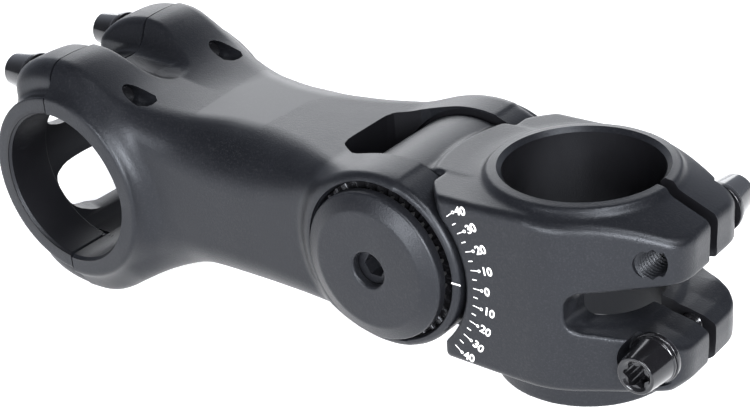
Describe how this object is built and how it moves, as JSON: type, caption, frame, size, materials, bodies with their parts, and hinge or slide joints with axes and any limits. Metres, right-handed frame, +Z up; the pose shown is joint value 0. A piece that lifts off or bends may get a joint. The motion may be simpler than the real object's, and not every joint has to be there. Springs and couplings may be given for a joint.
{
  "type": "adjustable handlebar stem",
  "caption": "Threadless bicycle handlebar stem with a forked arm that tilts on a toothed side pivot, a split steerer clamp and a bolted handlebar faceplate.",
  "frame": {"origin": "steerer axis at the bottom face of the steerer clamp", "axes": "+X forward along the arm to the handlebar clamp, +Y to the rider's left, +Z up along the steerer"},
  "size_m": [0.1558, 0.0478, 0.052],
  "materials": {
    "satin_black": "bead-blasted satin black with a fine grain",
    "gloss_black": "glossy black oxide on steel",
    "dark_steel": "dark phosphated steel",
    "bearing_nylon": "natural bearing plastic"
  },
  "bodies": {
    "base": {"steerer_clamp": "satin_black"},
    "arm": {"extension_arm": "satin_black", "tooth_ring_left": "gloss_black", "tooth_ring_right": "gloss_black", "pivot_bush_left": "bearing_nylon", "pivot_bush_right": "bearing_nylon"},
    "lock_left": {"lock_disc_left": "dark_steel", "lock_cover_left": "satin_black", "lock_spring_left": "dark_steel", "pivot_washer": "dark_steel"},
    "lock_right": {"lock_disc_right": "dark_steel", "lock_cover_right": "satin_black", "lock_spring_right": "dark_steel", "pivot_nut": "dark_steel"},
    "pivot_screw": {"pivot_bolt": "gloss_black"},
    "front": {"faceplate": "satin_black", "faceplate_washer_top_left": "gloss_black", "faceplate_bolt_top_left": "gloss_black", "faceplate_washer_top_right": "gloss_black", "faceplate_bolt_top_right": "gloss_black", "faceplate_washer_bottom_left": "gloss_black", "faceplate_bolt_bottom_left": "gloss_black", "faceplate_washer_bottom_right": "gloss_black", "faceplate_bolt_bottom_right": "gloss_black"},
    "upper_washer": {"steerer_washer_upper": "gloss_black"},
    "upper_screw": {"steerer_bolt_upper": "gloss_black"},
    "lower_washer": {"steerer_washer_lower": "gloss_black"},
    "lower_screw": {"steerer_bolt_lower": "gloss_black"}
  },
  "joints": [
    {"name": "arm_tilt", "type": "hinge", "parent": "base", "child": "arm", "pos_m": [0.0306, 0, 0.0213], "axis": [0, -1, 0], "range_deg": [-40, 40]},
    {"name": "lock_left_travel", "type": "slide", "parent": "base", "child": "lock_left", "axis": [0, 1, 0], "range_m": [-0.0012, 0.0005]},
    {"name": "lock_right_travel", "type": "slide", "parent": "base", "child": "lock_right", "axis": [0, -1, 0], "range_m": [-0.0012, 0.0005]},
    {"name": "pivot_bolt_turn", "type": "hinge", "parent": "lock_left", "child": "pivot_screw", "pos_m": [0.0306, 0.02, 0.0213], "axis": [0, 1, 0], "range_deg": [-864, 360]},
    {"name": "faceplate_off", "type": "slide", "parent": "arm", "child": "front", "axis": [1, 0, 0], "range_m": [0, 0.04]},
    {"name": "upper_bolt_travel", "type": "slide", "parent": "base", "child": "upper_washer", "axis": [0, -1, 0], "range_m": [0, 0.0024]},
    {"name": "upper_bolt_turn", "type": "hinge", "parent": "upper_washer", "child": "upper_screw", "pos_m": [-0.02, -0.0106, 0.0305], "axis": [0, -1, 0], "range_deg": [0, 1080]},
    {"name": "lower_bolt_travel", "type": "slide", "parent": "base", "child": "lower_washer", "axis": [0, 1, 0], "range_m": [0, 0.0024]},
    {"name": "lower_bolt_turn", "type": "hinge", "parent": "lower_washer", "child": "lower_screw", "pos_m": [-0.02, 0.0106, 0.0121], "axis": [0, 1, 0], "range_deg": [0, 1080]}
  ],
  "couplings": [
    {"joint": "pivot_bolt_turn", "follows": "lock_left_travel", "rad_per_m": 12566},
    {"joint": "lock_right_travel", "follows": "lock_left_travel", "ratio": 1},
    {"joint": "upper_bolt_turn", "follows": "upper_bolt_travel", "rad_per_m": 7854},
    {"joint": "lower_bolt_turn", "follows": "lower_bolt_travel", "rad_per_m": 7854}
  ]
}
